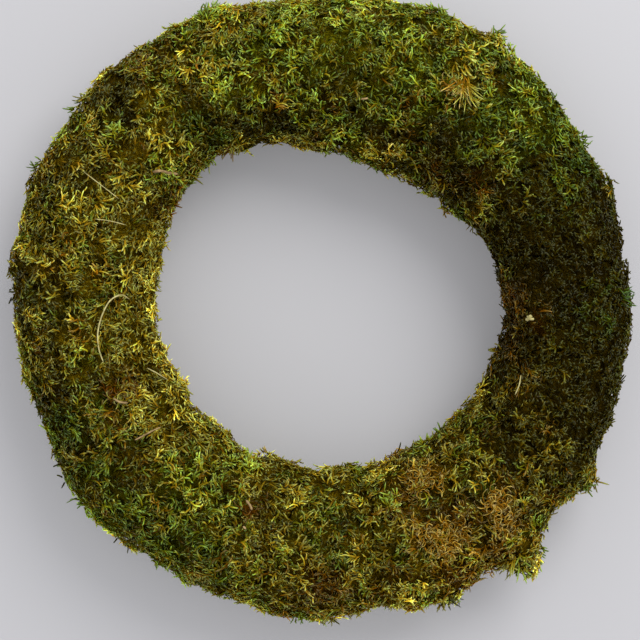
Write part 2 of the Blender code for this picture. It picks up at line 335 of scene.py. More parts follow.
def toneShares(points):
    # how much of each kind grows at each point
    names = list(mossTones)
    weight = np.tile([everywhere.get(name, 0.0) for name in names], (len(points), 1))
    x, y = inFrame(points)
    stray, size = patchwork["wander"], patchwork["wanderSize"]
    wanderX, wanderY = noiseAt(points, size, 3.0) * stray, noiseAt(points, size, 8.0) * stray
    for atX, atY, radius, name, amount in mossPatchesAndPaintedLight:
        apart = np.hypot(x + wanderX - atX, y + wanderY - atY) / radius
        weight[:, names.index(name)] += amount * np.exp(-(apart ** patchwork["edge"]))
    (coarse, coarseSize), (fine, fineSize) = patchwork["coarse"], patchwork["fine"]
    for number in range(len(names)):
        patchy = coarse * noiseAt(points, coarseSize, 11.0 + 5 * number)
        patchy = patchy + fine * noiseAt(points, fineSize, 13.0 + 7 * number)
        weight[:, number] *= np.exp(patchy)
    weight **= patchwork["contrast"]
    return weight / weight.sum(axis=1, keepdims=True)


def darkness(shares):
    return shares[:, [list(mossTones).index(name) for name in darkKinds]].sum(axis=1)


def pickTones(points, chance):
    # each frond takes one kind at random, from what grows around it
    shares, tones = toneShares(points), np.array(list(mossTones.values()))
    ladder = np.cumsum(shares, axis=1)
    choice = (chance.random(len(points))[:, None] * ladder[:, -1:] > ladder).sum(axis=1)
    blend = (patchwork["blend"][0] + patchwork["blend"][1] * darkness(shares))[:, None]
    return tones[choice] ** (1 - blend) * (shares @ tones) ** blend


# shoots: closed, curved, three-sided spindles

spindle = {
    "leastCurl": 0.05,          # radians; the path is always an arc
    "tangentStep": 0.05,        # of the length
    "taper": (0.6, 0.86),       # rings beyond this share of the length have this share of the thickness
    "floorGap": 0.25 * mm,
    "mapEdge": 0.08,            # free edge of its square in the map
    "mapSide": 0.28,            # width of each of its three sides there
}


def onShoot(start, ahead, outward, length, rise, droop, curl, share):
    # a shoot's path: an arc that turns by curl radians to the side, and rises and droops
    side = np.cross(outward, ahead)
    bend = np.where(np.abs(curl) < spindle["leastCurl"], spindle["leastCurl"], curl)
    forth, aside, up = np.sin(bend * share) / bend, (1 - np.cos(bend * share)) / bend, rise * share - droop * share**2
    way = ahead * forth[:, None] + side * aside[:, None] + outward * up[:, None]
    return start + length[:, None] * way


def writeTint(mesh, tint):
    attribute = mesh.attributes.new("tint", "FLOAT_COLOR", "POINT")
    attribute.data.foreach_set("color", np.column_stack((tint, np.ones(len(tint)))).ravel())


class Shoots:
    # gathers spindles and turns them into one mesh with its colours and its map
    def __init__(self):
        self.points, self.faces, self.tints, self.along, self.pick, self.maps = [], [], [], [], [], []
        self.count = 0
        self.pointCount = 0

    def add(self, start, ahead, outward, length, rise, droop, curl, radius, tint, pick, rings):
        number = len(start)
        form = (start, ahead, outward, length, rise, droop, curl)
        taperFrom, thinner = spindle["taper"]
        threeWays = (math.pi / 2, 7 * math.pi / 6, 11 * math.pi / 6)
        layers = [start[:, None, :]]
        for ring in rings:
            middle = onShoot(*form, ring)
            tangent = unit(onShoot(*form, ring + spindle["tangentStep"]) - middle)
            across = unit(np.cross(outward, tangent))
            over = np.cross(tangent, across)
            width = radius[:, None] * (1.0 if ring < taperFrom else thinner)
            corners = [across * math.cos(a) + over * math.sin(a) for a in threeWays]
            layers.append(np.stack([middle + width * corner for corner in corners], axis=1))
        layers.append(onShoot(*form, 1.0)[:, None, :])
        points = np.concatenate(layers, axis=1)
        points[:, :, 2] = np.maximum(points[:, :, 2], spindle["floorGap"])
        each = points.shape[1]
        faces, places = spindleFaces(len(rings))
        self.points.append(points.reshape(-1, 3))
        self.faces.append((faces[None] + self.pointCount + each * np.arange(number)[:, None, None]).reshape(-1, 3))
        shares = np.concatenate([[0.0]] + [[ring] * 3 for ring in rings] + [[1.0]])
        self.along.append(np.tile(shares, number))
        self.pick.append(np.repeat(pick, each))
        self.tints.append(np.repeat(tint, each, axis=0))
        self.maps.append((places, number))
        self.pointCount += number * each
        self.count += number

    def build(self, name, material):
        points, faces = np.concatenate(self.points), np.concatenate(self.faces)
        mesh = bpy.data.meshes.new(name)
        mesh.vertices.add(len(points))
        mesh.vertices.foreach_set("co", points.ravel())
        mesh.loops.add(faces.size)
        mesh.loops.foreach_set("vertex_index", faces.ravel())
        mesh.polygons.add(len(faces))
        mesh.polygons.foreach_set("loop_start", np.arange(len(faces)) * 3)
        mesh.update(calc_edges=True)
        mesh.shade_smooth()
        writeTint(mesh, np.concatenate(self.tints))
        for word, values in (("along", self.along), ("pick", self.pick)):
            attribute = mesh.attributes.new(word, "FLOAT", "POINT")
            attribute.data.foreach_set("value", np.concatenate(values))
        # one square of the map for each spindle
        squares = math.ceil(math.sqrt(self.count))
        corners, first = [], 0
        for places, number in self.maps:
            at = first + np.arange(number)
            origin = np.stack((at % squares, at // squares), axis=1)[:, None, None, :]
            corners.append(((origin + places[None]) / squares).reshape(-1, 2))
            first += number
        layer = mesh.uv_layers.new(name="OFBake")
        layer.data.foreach_set("uv", np.concatenate(corners).ravel())
        mesh.materials.append(material)
        return addObject(name, mesh)


def spindleFaces(ringCount):
    # corner numbers and map places of one spindle with this number of rings between its ends
    edge, side = spindle["mapEdge"], spindle["mapSide"]
    levels = np.linspace(edge, 1 - edge, ringCount + 2)
    tip = 1 + 3 * ringCount
    faces, places = [], []
    for k in range(3):
        a, b = k, (k + 1) % 3
        left, right = edge + side * k, edge + side * (k + 1)
        middle = (left + right) / 2
        faces.append((0, 1 + b, 1 + a))
        places.append(((middle, levels[0]), (right, levels[1]), (left, levels[1])))
        for ring in range(ringCount - 1):
            low, high = 1 + 3 * ring, 4 + 3 * ring
            faces += [(low + a, low + b, high + b), (low + a, high + b, high + a)]
            bottom, top = levels[ring + 1], levels[ring + 2]
            places.append(((left, bottom), (right, bottom), (right, top)))
            places.append(((left, bottom), (right, top), (left, top)))
        last = tip - 3
        faces.append((last + a, last + b, tip))
        places.append(((left, levels[-2]), (right, levels[-2]), (middle, levels[-1])))
    return np.array(faces), np.array(places)


# materials

def newGroup(name, inputs, outputs):
    group = bpy.data.node_groups.new(name, "ShaderNodeTree")
    for word, kind, value in inputs:
        socket = group.interface.new_socket(word, in_out="INPUT", socket_type=kind)
        socket.default_value = value
    for word, kind in outputs:
        group.interface.new_socket(word, in_out="OUTPUT", socket_type=kind)
    return group, group.nodes.new("NodeGroupInput"), group.nodes.new("NodeGroupOutput")


def addNode(tree, kind, **settings):
    node = tree.nodes.new(kind)
    for word, value in settings.items():
        if word.startswith("in_"):
            node.inputs[word[3:].replace("_", " ")].default_value = value
        else:
            setattr(node, word, value)
    return node


def setRamp(node, stops):
    ramp = node.color_ramp
    while len(ramp.elements) < len(stops):
        ramp.elements.new(0.5)
    for element, (place, colour) in zip(ramp.elements, stops):
        element.position = place
        element.color = (*colour, 1)


def objectNoise(tree, **settings):
    # a noise that sticks to the object
    place = addNode(tree, "ShaderNodeTexCoord")
    pattern = addNode(tree, "ShaderNodeTexNoise", **settings)
    tree.links.new(place.outputs["Object"], pattern.inputs["Vector"])
    return pattern


def mapped(tree, value, given, wanted):
    # a value carried over from one range to another
    node = addNode(tree, "ShaderNodeMapRange")
    for word, number in zip(("From Min", "From Max", "To Min", "To Max"), (*given, *wanted)):
        node.inputs[word].default_value = number
    tree.links.new(value, node.inputs["Value"])
    return node.outputs["Result"]


def multiplied(tree, first, second):
    mix = addNode(tree, "ShaderNodeMix", data_type="RGBA", blend_type="MULTIPLY")
    mix.inputs["Factor"].default_value = 1
    tree.links.new(first, mix.inputs["A"])
    tree.links.new(second, mix.inputs["B"])
    return mix.outputs["Result"]


def addBump(tree, shader, height, strength, relief):
    bump = addNode(tree, "ShaderNodeBump", in_Strength=strength, in_Distance=relief)
    tree.links.new(height, bump.inputs["Height"])
    tree.links.new(bump.outputs["Normal"], shader.inputs["Normal"])


shootLook = {
    # from root to tip: what the shoot's own colour is multiplied by, with painted shade and a painted sheen
    # the root is darker and browner, partly its own colour and partly painted shade; the tip's paler, bluer colour is a
    # painted sheen
    "shadesAndPaintedSheen": [(0.0, (0.41, 0.235, 0.02)), (0.35, (0.64, 0.465, 0.25)), (0.70, (0.90, 0.965, 1.00)),
               (1.0, (1.01, 1.15, 3.3))],
    "fleckScale": 700.0,
    "flecks": (0.72, 1.28),     # darkest and lightest
    "fleckLevels": (0.3, 0.7),  # of the noise, for these two
    "roughness": (0.40, 0.70),
    "gloss": (0.0, 0.60),
    "glossFrom": 0.45,          # of the shoot's length; the gloss grows from there to the tip
    "bump": 0.35,
    "relief": 0.0003,           # metres
}


def buildMossGroup():
    # a moss shoot's colour from its root to its tip: its root darker, partly painted shade, its tip paler, a painted
    # sheen, and flecks
    group, given, result = newGroup(
        "mossShading",
        [("Tint", "NodeSocketColor", (0.2, 0.2, 0.05, 1)), ("Along", "NodeSocketFloat", 0.5),
         ("Pick", "NodeSocketFloat", 0.5), ("Fleck Scale", "NodeSocketFloat", 700.0)],
        [("Color", "NodeSocketColor"), ("Roughness", "NodeSocketFloat"), ("Gloss", "NodeSocketFloat"),
         ("Height", "NodeSocketFloat")],
    )
    link = group.links.new
    fleck = objectNoise(group, in_Detail=2.0)
    link(given.outputs["Fleck Scale"], fleck.inputs["Scale"])
    shade = addNode(group, "ShaderNodeValToRGB")
    setRamp(shade, shootLook["shadesAndPaintedSheen"])
    link(given.outputs["Along"], shade.inputs["Fac"])
    shaded = multiplied(group, given.outputs["Tint"], shade.outputs["Color"])
    flecks = mapped(group, fleck.outputs["Fac"], shootLook["fleckLevels"], shootLook["flecks"])
    link(multiplied(group, shaded, flecks), result.inputs["Color"])
    link(mapped(group, given.outputs["Pick"], (0, 1), shootLook["roughness"]), result.inputs["Roughness"])
    gloss = mapped(group, given.outputs["Along"], (shootLook["glossFrom"], 1), shootLook["gloss"])
    link(gloss, result.inputs["Gloss"])
    link(fleck.outputs["Fac"], result.inputs["Height"])
    return group


mossGroup = buildMossGroup()


def newMaterial(name):
    material = bpy.data.materials.new(name)
    material.use_nodes = True
    return material, material.node_tree, material.node_tree.nodes["Principled BSDF"]


def shootMaterial():
    material, tree, shader = newMaterial("mossShoots")
    group = addNode(tree, "ShaderNodeGroup", node_tree=mossGroup)
    group.inputs["Fleck Scale"].default_value = shootLook["fleckScale"]
    for word, output, socket in (("tint", "Color", "Tint"), ("along", "Fac", "Along"), ("pick", "Fac", "Pick")):
        attribute = addNode(tree, "ShaderNodeAttribute", attribute_name=word)
        tree.links.new(attribute.outputs[output], group.inputs[socket])
    for output, socket in (("Color", "Base Color"), ("Roughness", "Roughness"), ("Gloss", "Specular IOR Level")):
        tree.links.new(group.outputs[output], shader.inputs[socket])
    addBump(tree, shader, group.outputs["Height"], shootLook["bump"], shootLook["relief"])
    return material


thatchLook = {
    "curlScale": 430.0,
    # light on the thin curled stems, painted shade between them
    "curlsAndPaintedShade": [(0.34, 0.10), (0.43, 0.9), (0.50, 0.12), (0.58, 1.0), (0.66, 0.10)],      # level and lightness
    "patchScale": 150.0,
    "patches": (0.25, 1.0),     # darkest and lightest
    "patchLevels": (0.35, 0.65),
    "roughness": 0.9,
    "bump": 0.8,
    "relief": 0.0010,           # metres
}


def thatchMaterial():
    # the dark thatch of old shoots under the green ones, browner than they are, with painted shade between its curled
    # stems
    material, tree, shader = newMaterial("mossThatch")
    # curls: the thin level lines of a warped noise, lighter than the painted shade between them
    warp = objectNoise(tree, in_Scale=thatchLook["curlScale"], in_Detail=1.0, in_Distortion=2.2)
    curlsAndPaintedShade = addNode(tree, "ShaderNodeValToRGB")
    setRamp(curlsAndPaintedShade, [(place, (grey, grey, grey)) for place, grey in thatchLook["curlsAndPaintedShade"]])
    tree.links.new(warp.outputs["Fac"], curlsAndPaintedShade.inputs["Fac"])
    tint = addNode(tree, "ShaderNodeAttribute", attribute_name="tint")
    patch = objectNoise(tree, in_Scale=thatchLook["patchScale"], in_Detail=3.0)
    depth = mapped(tree, patch.outputs["Fac"], thatchLook["patchLevels"], thatchLook["patches"])
    curled = multiplied(tree, tint.outputs["Color"], curlsAndPaintedShade.outputs["Color"])
    tree.links.new(multiplied(tree, curled, depth), shader.inputs["Base Color"])
    addBump(tree, shader, curlsAndPaintedShade.outputs["Color"], thatchLook["bump"], thatchLook["relief"])
    shader.inputs["Roughness"].default_value = thatchLook["roughness"]
    shader.inputs["Specular IOR Level"].default_value = 0.0
    return material


shootFinish, thatchFinish = shootMaterial(), thatchMaterial()


# the moss: a bed of thatch for each pad, with fronds of shoots rooted in it

bed = {
    # from the skin down to the thatch: pressed flat where the wreath lies on it, thick at the rims, loose on top
    "facing": (-0.70, -0.25, 0.30, 0.75),
    "depth": (0.6 * mm, 1.7 * mm, 1.7 * mm, 3.0 * mm),
    "relief": 1.5 * mm,
    "reliefSize": 4.5 * mm,
    "columns": 20,
    "underColumns": 2,
    "rows": 60,
    "side": 0.498,              # from a pad's middle line to its edge, as a share of its width
    "sideRound": (12, 0.15),    # how sharply and how far the sides fall off
    "core": 1.5 * mm,           # how deep the inner face lies in the straw
    "wander": 0.16,             # of the edges along the seam, in radians
    "wanderSize": 8 * mm,
    "wanderShare": 0.06,        # of the way round the section
    "seamShare": 0.02,          # along the seam the sheet gets thinner over this share of the way
    "seamThick": 0.55,
    "pressedFrom": 0.25,        # cosine of the angle from the back where the moss begins to be pressed flat
    "floorGap": 0.2 * mm,
    "shade": (1.00, 0.71, 0.16),
    "darkest": (0.105, 0.068, 0.005),
}


backSpan = 0.45                 # of the cosine, from where the back begins to where it counts in full


def facingDown(section, start):
    # 1 at the back, where the wreath lies on it, to 0 from the sides up
    return np.clip((np.cos(section) - start) / backSpan, 0, 1)


def grooveAngle(section):
    # the pads slant as they go round the section, as the wire between them does
    return padWidth * (section / turn - 0.5)


def makeBed(number):
    columns = bed["columns"] + bed["underColumns"]
    rows = bed["rows"]
    level = np.repeat(np.linspace(0, 1, rows + 1), columns)
    section = seamAngle + level * (turn - 2 * seamAngle)
    column = np.tile(np.arange(columns), rows + 1)
    outer = column <= bed["columns"]
    across = np.where(outer, 2 * column / bed["columns"] - 1, 1 - 2 * (column - bed["columns"]) / bed["underColumns"])
    theta = padWidth * number + grooveAngle(section) + across * bed["side"] * padWidth
    # the sheet's edges wander along the back seam
    edge = bed["wander"] * noiseAt(fromSection(theta, level * turn, 2 * strawRadius), bed["wanderSize"], 21.0)
    atStart, atEnd = (np.clip(1 - way / bed["wanderShare"], 0, 1) for way in (level, 1 - level))
    section = section + edge * (atStart - atEnd)
    point = skinFrame(theta, section, 0.0)[0]
    reach = skinReach(theta, section)
    relief = noiseAt(point, bed["reliefSize"], 40.0) * bed["relief"]
    full = np.clip(np.minimum(level, 1 - level) / bed["seamShare"], bed["seamThick"], 1.0)
    core = strawRadius - bed["core"]
    thick = reach + relief - np.interp(-np.cos(section), bed["facing"], bed["depth"]) - core
    sharp, fall = bed["sideRound"]
    reach = np.where(outer, core + thick * full * (1 - np.abs(across) ** sharp * fall), core)
    points = fromSection(theta, section, reach)
    points[:, 2] = np.maximum(points[:, 2], bed["floorGap"])
    faces = []
    for row in range(rows):
        for k in range(columns):
            a, b = row * columns + k, row * columns + (k + 1) % columns
            faces.append((a, b, b + columns, a + columns))
    faces.append(tuple(range(columns))[::-1])
    faces.append(tuple(rows * columns + k for k in range(columns)))
    mesh = bpy.data.meshes.new(f"mossThatch{number + 1:02d}")
    mesh.from_pydata(points.tolist(), [], faces)
    mesh.shade_smooth()
    tint = np.maximum(toneShares(points) @ np.array(list(mossTones.values())) * bed["shade"], bed["darkest"])
    writeTint(mesh, tint)
    mesh.materials.append(thatchFinish)
    return addObject(mesh.name, mesh)


spacing = {
    "tries": 6,                 # places drawn for each shoot; those beyond the wanted number are dropped
    "seamGap": 1.1,             # of the seam's half angle
    "areaScale": 1.35,
    "thinFrom": 0.15,           # cosine of the angle from the back where shoots begin to grow thinner
}

clumpingAndPaintedLight = {
    # they stand in clumps within clumps, with painted light on top and painted shade between: size, height, painted
    # shade
    "clumpsAndPaintedLight": ((20 * mm, 2.0 * mm, 0.45), (9 * mm, 1.5 * mm, 0.60), (4.2 * mm, 0.9 * mm, 0.60)),
    "contrast": 1.6,
    "darkEven": 0.5,            # the dark kinds differ less in lightness
    # painted light at the outer rim and at the hole's rim
    "paintedRimLight": (1.3, 0.6),     # at the outer rim and at the hole's
    "rimFades": (0.43, 0.70),   # upwards and downwards, as shares of the section's half height
}


def scatter(number, count, backShare, chance):
    # places on one pad, evenly over its area, thinner at the back
    wanted = count * spacing["tries"]
    section = chance.uniform(seamAngle * spacing["seamGap"], turn - seamAngle * spacing["seamGap"], wanted)
    theta = padWidth * number + grooveAngle(section) + chance.uniform(-0.5, 0.5, wanted) * padWidth
    reach = skinReach(theta, section)
    area = (ringRadius + reach * np.sin(section)) * reach / (ringRadius * spacing["areaScale"] * reach.mean())
    atBack = facingDown(section, spacing["thinFrom"])
    keep = chance.random(wanted) < area * (1 - (1 - backShare) * atBack)
    return theta[keep][:count], section[keep][:count]


def clumpsAndPaintedLight(theta, section):
    point = fromSection(theta, section, skinReach(theta, section))
    height, shade = 0, 0
    # painted light and shade: shoots on the clumps' tops are lighter, those in the hollows between them darker
    for size, tall, bright in clumpingAndPaintedLight["clumpsAndPaintedLight"]:
        swell = noiseAt(point, size, 90.0 + size / mm)
        height, shade = height + swell * tall, shade + swell * bright
    # painted light: the shoots at the two rims are lighter, and those under them less so
    up = -np.cos(section)
    fadeUp, fadeDown = clumpingAndPaintedLight["rimFades"]
    rims = np.exp(-((up / np.where(up > 0, fadeUp, fadeDown)) ** 2))
    light = np.where(section < turn / 2, *clumpingAndPaintedLight["paintedRimLight"]) * rims
    return height, np.exp(clumpingAndPaintedLight["contrast"] * shade) * (1 + light)


def skinLift(section, height):
    # pressed moss has no clumps
    return skinMap["lift"] + height * (1 - facingDown(section, bed["pressedFrom"]))


def lightness(light, dark):
    return (light ** (1 - clumpingAndPaintedLight["darkEven"] * dark))[:, None]


def spread(chance, limits, count):
    return chance.uniform(limits[0], limits[1], count)


def turned(ahead, outward, angle):
    side = np.cross(outward, ahead)
    return ahead * np.cos(angle)[:, None] + side * np.sin(angle)[:, None]


# single short shoots between the fronds, darker than they are
understory = {
    "count": 2500,              # on each pad
    "backShare": 1.0,           # how thickly they grow at the back, where the front is 1
    "root": 2.6 * mm,           # under the skin
    "length": (2.6 * mm, 4.8 * mm),
    "rise": (0.3, 1.1),
    "droop": (0.1, 0.5),
    "curl": 1.3,
    "shade": (0.35, 0.85),
    "rings": (0.5,),
}

# a stem that rises out of the thatch and bends over, with branches to both sides
fronds = {
    "count": 620,
    "backShare": 0.46,
    "root": 2.2 * mm,
    "flow": (1.2, 22 * mm, 0.8),        # neighbours point alike: how far the way turns, over what size, and its spread
    "stem": (5.0 * mm, 9.0 * mm),
    "thickness": (0.36 * mm, 0.54 * mm),
    "darkShorter": 0.35,        # the dark kinds have shorter shoots
    "rise": (0.38, 0.80),
    "droop": (0.25, 0.55),
    "curl": (0.3, 2.6),
    "shade": (0.64, 1.24),
    "tintSpread": 0.05,
    "rings": (0.18, 0.52, 0.86),
}

branches = {
    "count": 4,
    "tipGap": 0.6,              # room on the stem beyond the last one, where the gap between two is 1
    "length": (2.7 * mm, 5.2 * mm),
    "shorter": (1.15, 0.35),    # towards the tip of the stem
    "angle": (0.4, 1.7),
    "rise": (0.0, 1.1),
    "droop": (0.1, 0.8),
    "curl": (-0.4, 3.0),
    "thickness": (0.85, 1.05),  # of the stem's
    "shade": (0.60, 1.32),
    "tint": (0.4, 0.6),         # the stem's colour and its own
    "rings": (0.22, 0.80),
}


def makeUnderstory(shoots, number, chance):
    look = understory
    theta, section = scatter(number, look["count"], look["backShare"], chance)
    count = len(theta)
    # shade: painted light and shade of the clumps, and painted light at the rims
    height, shade = clumpsAndPaintedLight(theta, section)
    point, roundWreath, _, outward = skinFrame(theta, section, skinLift(section, height) - look["root"])
    ahead = turned(roundWreath, outward, chance.uniform(0, turn, count))
    tint = pickTones(point, chance)
    tint *= lightness(spread(chance, look["shade"], count) * shade, darkness(toneShares(point)))
    shoots.add(point, ahead, outward, spread(chance, look["length"], count), spread(chance, look["rise"], count),
               spread(chance, look["droop"], count), chance.normal(0, look["curl"], count),
               spread(chance, fronds["thickness"], count), tint, chance.random(count), look["rings"])


def makeFronds(shoots, number, chance):
    look = fronds
    theta, section = scatter(number, look["count"], look["backShare"], chance)
    count = len(theta)
    # shade: painted light and shade of the clumps, and painted light at the rims
    height, shade = clumpsAndPaintedLight(theta, section)
    root, roundWreath, _, outward = skinFrame(theta, section, skinLift(section, height) - look["root"])
    sway, swaySize, waySpread = look["flow"]
    flow = turn * sway * noiseAt(root, swaySize, 70.0) + chance.normal(0, waySpread, count)
    ahead = turned(roundWreath, outward, flow)
    dark = darkness(toneShares(root))
    short = 1 - look["darkShorter"] * dark
    length = spread(chance, look["stem"], count) * short
    rise, droop = spread(chance, look["rise"], count), spread(chance, look["droop"], count)
    curl = chance.choice((-1, 1), count) * spread(chance, look["curl"], count)
    tint = pickTones(root, chance) * lightness(spread(chance, look["shade"], count) * shade, dark)
    tint *= 1 + chance.normal(0, look["tintSpread"], (count, 3))
    thick = spread(chance, look["thickness"], count)
    stem = (root, ahead, outward, length, rise, droop, curl)
    shoots.add(*stem, thick, tint, chance.random(count), look["rings"])
    look = branches
    full, less = look["shorter"]
    for branch in range(look["count"]):
        share = float((branch + 1) / (look["count"] + look["tipGap"]))
        way = 1 if branch % 2 else -1
        angle = way * spread(chance, look["angle"], count) + curl * share
        start = onShoot(*stem, share)
        own = pickTones(start, chance) * lightness(spread(chance, look["shade"], count) * shade, dark)
        shoots.add(start, turned(ahead, outward, angle), outward,
                   spread(chance, look["length"], count) * short * (full - less * share),
                   spread(chance, look["rise"], count), spread(chance, look["droop"], count),
                   -way * spread(chance, look["curl"], count), thick * spread(chance, look["thickness"], count),
                   look["tint"][0] * tint + look["tint"][1] * own, chance.random(count), look["rings"])


def makeShoots(number):
    chance = np.random.default_rng(500 + number)
    shoots = Shoots()
    makeUnderstory(shoots, number, chance)
    makeFronds(shoots, number, chance)
    return shoots.build(f"mossShoots{number + 1:02d}", shootFinish)


for number in range(padCount):
    node = f"moss_pad_{number + 1:02d}"
    for piece in (makeBed(number), makeShoots(number)):
        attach(piece, "root")
        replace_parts(piece, node)
print("moss on", padCount, "pads")


# tufts that stand out of the moss or over its outline, where the photograph shows them

# place in the photograph's frame, way in degrees from its right, spread, number, length in mm, kind
tufts = [
    (337, 138, 270, 60, 16, 6.5, "bright"), (463, 70, 290, 80, 14, 6.0, "yellow"),
    (203, 12, 100, 45, 22, 7.5, "green"), (213, 8, 80, 40, 12, 6.5, "bright"), (70, 84, 150, 50, 12, 6.5, "olive"),
    (62, 100, 165, 40, 9, 6.0, "green"), (32, 162, 165, 35, 9, 6.5, "green"), (12, 293, 180, 40, 9, 6.0, "dark"),
    (497, 33, 55, 40, 14, 7.5, "green"), (515, 47, 60, 40, 10, 6.0, "bright"), (594, 135, 40, 35, 12, 6.5, "green"),
    (626, 296, 5, 45, 26, 7.0, "deep"), (624, 303, -15, 40, 12, 6.5, "dark"), (497, 265, 165, 30, 5, 7.0, "dark"),
    (503, 308, 180, 30, 5, 6.0, "dark"), (493, 345, 170, 40, 7, 6.0, "olive"), (52, 455, 220, 25, 2, 6.0, "dark"),
    (59, 467, 200, 40, 5, 5.0, "dark"), (62, 477, 200, 40, 4, 4.5, "dark"), (78, 505, 225, 45, 12, 5.5, "green"),
    (122, 541, 230, 30, 5, 5.5, "dark"), (236, 148, 275, 30, 10, 6.5, "olive"),
    (229, 153, 265, 30, 7, 6.5, "brown"), (381, 158, 275, 14, 3, 9.5, "dark"), (412, 168, 285, 30, 7, 6.5, "olive"),
    (434, 184, 240, 50, 9, 6.5, "olive"), (448, 203, 235, 40, 8, 6.0, "dark"), (161, 290, 25, 12, 2, 8.5, "dark"),
    (163, 318, 0, 35, 6, 6.0, "yellow"), (178, 213, 10, 50, 12, 4.6, "rust"), (198, 178, -20, 35, 7, 6.0, "olive"),
    (537, 563, 300, 55, 26, 7.5, "olive"), (526, 569, 283, 16, 12, 10.0, "bright"),
    (516, 568, 263, 14, 12, 10.0, "yellow"), (543, 564, 305, 16, 10, 8.5, "bright"),
    (546, 556, 345, 16, 8, 8.0, "green"), (507, 566, 250, 30, 8, 5.0, "olive"), (547, 524, 290, 24, 7, 6.5, "dark"),
    (455, 603, 285, 50, 18, 6.5, "dark"), (447, 607, 260, 40, 12, 6.5, "olive"),
    (330, 622, 275, 45, 14, 5.5, "olive"), (300, 617, 260, 40, 10, 5.5, "green"),
    (598, 480, 325, 40, 9, 6.0, "olive"), (590, 488, 300, 35, 9, 6.0, "green"), (622, 385, 350, 35, 8, 6.0, "dark"),
    (391, 603, 270, 50, 12, 6.0, "olive"), (255, 466, 75, 45, 10, 6.0, "bright"),
    (331, 476, 90, 45, 10, 6.0, "yellow"), (395, 462, 95, 40, 8, 6.0, "olive"),
    (425, 441, 110, 60, 12, 5.5, "bright"), (396, 451, 95, 12, 2, 8.0, "dark"),
    (438, 431, 120, 40, 8, 6.0, "green"), (235, 458, 60, 70, 16, 6.5, "bright"),
    (387, 501, 80, 70, 18, 6.5, "bright"), (115, 130, 120, 80, 16, 6.5, "bright"),
]


tuftPieces = {
    # curl and thickness of the strands, how deep they are rooted, and how far from the tuft's place, in pixels
    "mossTufts": {"tufts": tufts, "curl": 1.2, "thickness": fronds["thickness"], "root": 2.0 * mm, "loose": 4.0,
                  "kind": "moss_green"},
    # a fan of long pale strands that hangs from one knot
    "fanTuft": {"tufts": [(463, 80, 262, 80, 20, 12.0, "tan"), (465, 82, 285, 70, 30, 12.0, "yellow")],
                "curl": 0.60, "thickness": (0.22 * mm, 0.34 * mm), "root": 0.8 * mm, "loose": 2.6, "kind": "moss_dry"},
}

strands = {
    "lie": 0.55,                # how far they are laid along the skin
    "shade": (0.6, 1.35),
    "length": (0.6, 1.15),      # of the tuft's length
    "rise": (0.2, 0.6),
    "droop": (0.1, 0.5),
}


def makeTufts(name, tufts, curl, thickness, root, loose, kind):
    chance = np.random.default_rng(77)
    shoots = Shoots()
    for x, y, way, fan, count, length, tone in tufts:
        theta, section, _ = toSection(onSkin(x + chance.normal(0, loose, count), y + chance.normal(0, loose, count)))
        start, _, _, outward = skinFrame(theta, section, skinMap["lift"] - root)
        angle = np.radians(way + chance.normal(0, fan / 2, count))
        ahead = np.stack((np.cos(angle), np.sin(angle), np.zeros(count)), axis=1)
        ahead = unit(ahead - outward * (ahead * outward).sum(axis=1, keepdims=True) * strands["lie"])
        tint = np.array(mossTones[tone]) * spread(chance, strands["shade"], count)[:, None]
        shoots.add(start, ahead, outward, length * mm * spread(chance, strands["length"], count),
                   spread(chance, strands["rise"], count), spread(chance, strands["droop"], count),
                   chance.normal(0, curl, count), spread(chance, thickness, count), tint, chance.random(count),
                   fronds["rings"])
    thing = shoots.build(name, shootFinish)
    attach(thing, "root")


for name, look in tuftPieces.items():
    makeTufts(name, **look)

# dry, curly patches: place and two radii in the photograph's frame, number, kind
dryPatches = [
    (424, 480, 20, 12, 90, "tan"), (447, 535, 26, 14, 120, "tan"), (497, 503, 11, 10, 60, "tan"),
    (508, 527, 13, 10, 60, "tan"), (470, 515, 16, 16, 40, "brown"), (130, 398, 18, 10, 55, "yellow"),
    (112, 392, 8, 8, 22, "rust"), (250, 508, 7, 10, 24, "rust"), (400, 500, 16, 14, 40, "brown"),
    (140, 68, 9, 8, 24, "brown"), (318, 590, 16, 12, 40, "brown"), (449, 90, 6, 8, 14, "tan"),
]


dryCurls = {
    "root": 1.6 * mm,
    "length": (4.5, 9.0),       # mm
    "thickness": (0.22, 0.36),  # mm
    "rise": (0.1, 0.5),
    "droop": (0.1, 0.4),
    "curl": (1.2, 4.2),
    "shade": (0.35, 1.15),
    "rings": (0.15, 0.38, 0.62, 0.86),
}


def makeDryCurls():
    chance = np.random.default_rng(91)
    shoots, look = Shoots(), dryCurls
    for x, y, wide, high, count, kind in dryPatches:
        angle, out = chance.uniform(0, turn, count), np.sqrt(chance.random(count))
        theta, section, _ = toSection(onSkin(x + wide * out * np.cos(angle), y + high * out * np.sin(angle)))
        start, roundWreath, _, outward = skinFrame(theta, section, skinMap["lift"] - look["root"])
        tint = np.array(mossTones[kind]) * spread(chance, look["shade"], count)[:, None]
        shoots.add(start, turned(roundWreath, outward, chance.uniform(0, turn, count)), outward,
                   spread(chance, look["length"], count) * mm, spread(chance, look["rise"], count),
                   spread(chance, look["droop"], count),
                   chance.choice((-1, 1), count) * spread(chance, look["curl"], count),
                   spread(chance, look["thickness"], count) * mm, tint, chance.random(count), look["rings"])
    thing = shoots.build("dryCurls", shootFinish)
    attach(thing, "root")


makeDryCurls()
print("tufts and dry curls")


# stalks and twigs caught in the moss, the straw ring and its wire

grain = {
    "streaks": [(0.30, 0.0), (0.50, 0.5), (0.68, 1.0)],         # level of the noise, share of the light colour
    "lightest": 1.2,
    "bump": 0.6,
    "shine": 0.25,
}


